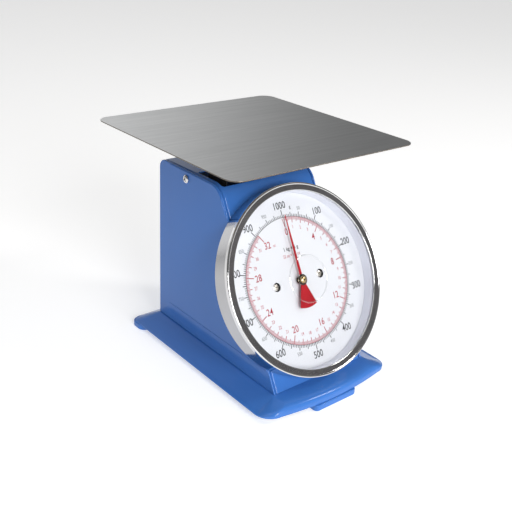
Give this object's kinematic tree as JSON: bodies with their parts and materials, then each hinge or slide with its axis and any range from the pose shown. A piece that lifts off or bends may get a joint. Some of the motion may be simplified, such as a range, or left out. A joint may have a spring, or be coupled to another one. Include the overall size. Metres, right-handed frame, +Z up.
{
  "type": "mechanical dial platform scale",
  "caption": "Spring dial scale: square steel platform over a blue sheet-metal housing, tilted round dial in a chrome case, on a flared base with three feet.",
  "frame": {"origin": "on the floor under the middle of the object's bounding box", "axes": "+Z up; the dial faces -Y and leans back towards +Y; +X is on the right of someone reading the dial"},
  "size_m": [0.235, 0.2736, 0.249],
  "materials": {
    "blue_paint": "glossy blue enamel on pressed steel",
    "stainless": "brushed stainless sheet",
    "chrome": "polished chrome",
    "clear_lens": "clear moulded acrylic",
    "dial_white": "white enamel with printed scales",
    "white_plastic": "white moulded plastic",
    "pointer_red": "red lacquer",
    "brass": "machined brass",
    "plated_steel": "zinc-plated pressed steel",
    "dark_steel": "dark polished steel",
    "spring_steel": "oiled spring wire",
    "black_paint": "satin black paint",
    "black_plastic": "moulded black plastic"
  },
  "bodies": {
    "housing": {"base_shell": "blue_paint", "front_foot": "blue_paint", "rear_left_foot": "blue_paint", "rear_right_foot": "blue_paint", "left_side_panel": "blue_paint", "right_side_panel": "blue_paint", "front_panel": "blue_paint", "rear_cover": "blue_paint", "dial_case": "chrome", "bezel": "chrome", "left_side_screw": "chrome", "right_side_screw": "chrome", "rear_screw_1": "chrome", "rear_screw_2": "chrome", "rear_screw_3": "chrome", "rear_screw_4": "chrome", "left_dial_screw": "chrome", "right_dial_screw": "chrome", "lens": "clear_lens", "dial_plate": "dial_white", "dial_ring": "white_plastic", "rack_guide": "white_plastic", "front_bush": "brass", "rear_bush": "brass", "bottom_plate": "plated_steel", "inner_frame": "plated_steel", "frame_cap": "plated_steel", "movement_bracket": "plated_steel", "upper_arm_pin": "plated_steel", "lower_arm_pin": "plated_steel", "damper_cup": "plated_steel"},
    "carriage": {"platform": "stainless", "platform_support": "plated_steel", "platform_bracket": "black_paint", "load_crossbar": "plated_steel", "spring_bar": "plated_steel", "upper_left_load_pin": "plated_steel", "upper_right_load_pin": "plated_steel", "lower_left_load_pin": "plated_steel", "lower_right_load_pin": "plated_steel", "damper_piston": "brass"},
    "upper_link": {"upper_arm": "plated_steel"},
    "lower_link": {"lower_arm": "plated_steel"},
    "rack_bar": {"rack": "brass"},
    "pointer_assembly": {"pointer": "pointer_red", "pointer_boss": "brass", "pointer_washer": "dark_steel", "pointer_cap": "brass", "pinion_arbor": "plated_steel", "drive_pinion": "brass"},
    "zero_adjuster": {"zero_knob": "black_plastic"},
    "hanger": {"spring_hanger": "plated_steel", "left_spring": "spring_steel", "right_spring": "spring_steel"}
  },
  "joints": [
    {"name": "platform_travel", "type": "slide", "parent": "housing", "child": "carriage", "axis": [0, 0, -1], "range_m": [0, 0.01382], "stiffness_N_per_m": 709.7, "springref_m": -0.0133, "deforming": ["left_spring", "right_spring"]},
    {"name": "upper_arm_swing", "type": "hinge", "parent": "housing", "child": "upper_link", "pos_m": [0, 0.0783, 0.17], "axis": [1, 0, 0], "range_deg": [0, 13.22]},
    {"name": "lower_arm_swing", "type": "hinge", "parent": "housing", "child": "lower_link", "pos_m": [0, 0.0783, 0.08], "axis": [1, 0, 0], "range_deg": [0, 13.22]},
    {"name": "rack_slide", "type": "slide", "parent": "housing", "child": "rack_bar", "axis": [0, -0.4756, -0.8796], "range_m": [0, 0.01571]},
    {"name": "pointer_turn", "type": "hinge", "parent": "housing", "child": "pointer_assembly", "pos_m": [0, -0.0668, 0.112], "axis": [0, 0.8796, -0.4756], "range_deg": [0, 360]},
    {"name": "zero_knob_turn", "type": "hinge", "parent": "housing", "child": "zero_adjuster", "pos_m": [0, 0.0183, 0.1886], "axis": [0, 0, 1], "range_deg": [-720, 720]},
    {"name": "hanger_lift", "type": "slide", "parent": "housing", "child": "hanger", "axis": [0, 0, 1], "range_m": [-0.0016, 0.0016]}
  ],
  "couplings": [
    {"joint": "upper_arm_swing", "follows": "platform_travel", "rad_per_m": 16.704},
    {"joint": "lower_arm_swing", "follows": "platform_travel", "rad_per_m": 16.704},
    {"joint": "rack_slide", "follows": "platform_travel", "ratio": 1.1368},
    {"joint": "pointer_turn", "follows": "platform_travel", "rad_per_m": 454.73},
    {"joint": "zero_knob_turn", "follows": "hanger_lift", "rad_per_m": 7854}
  ]
}
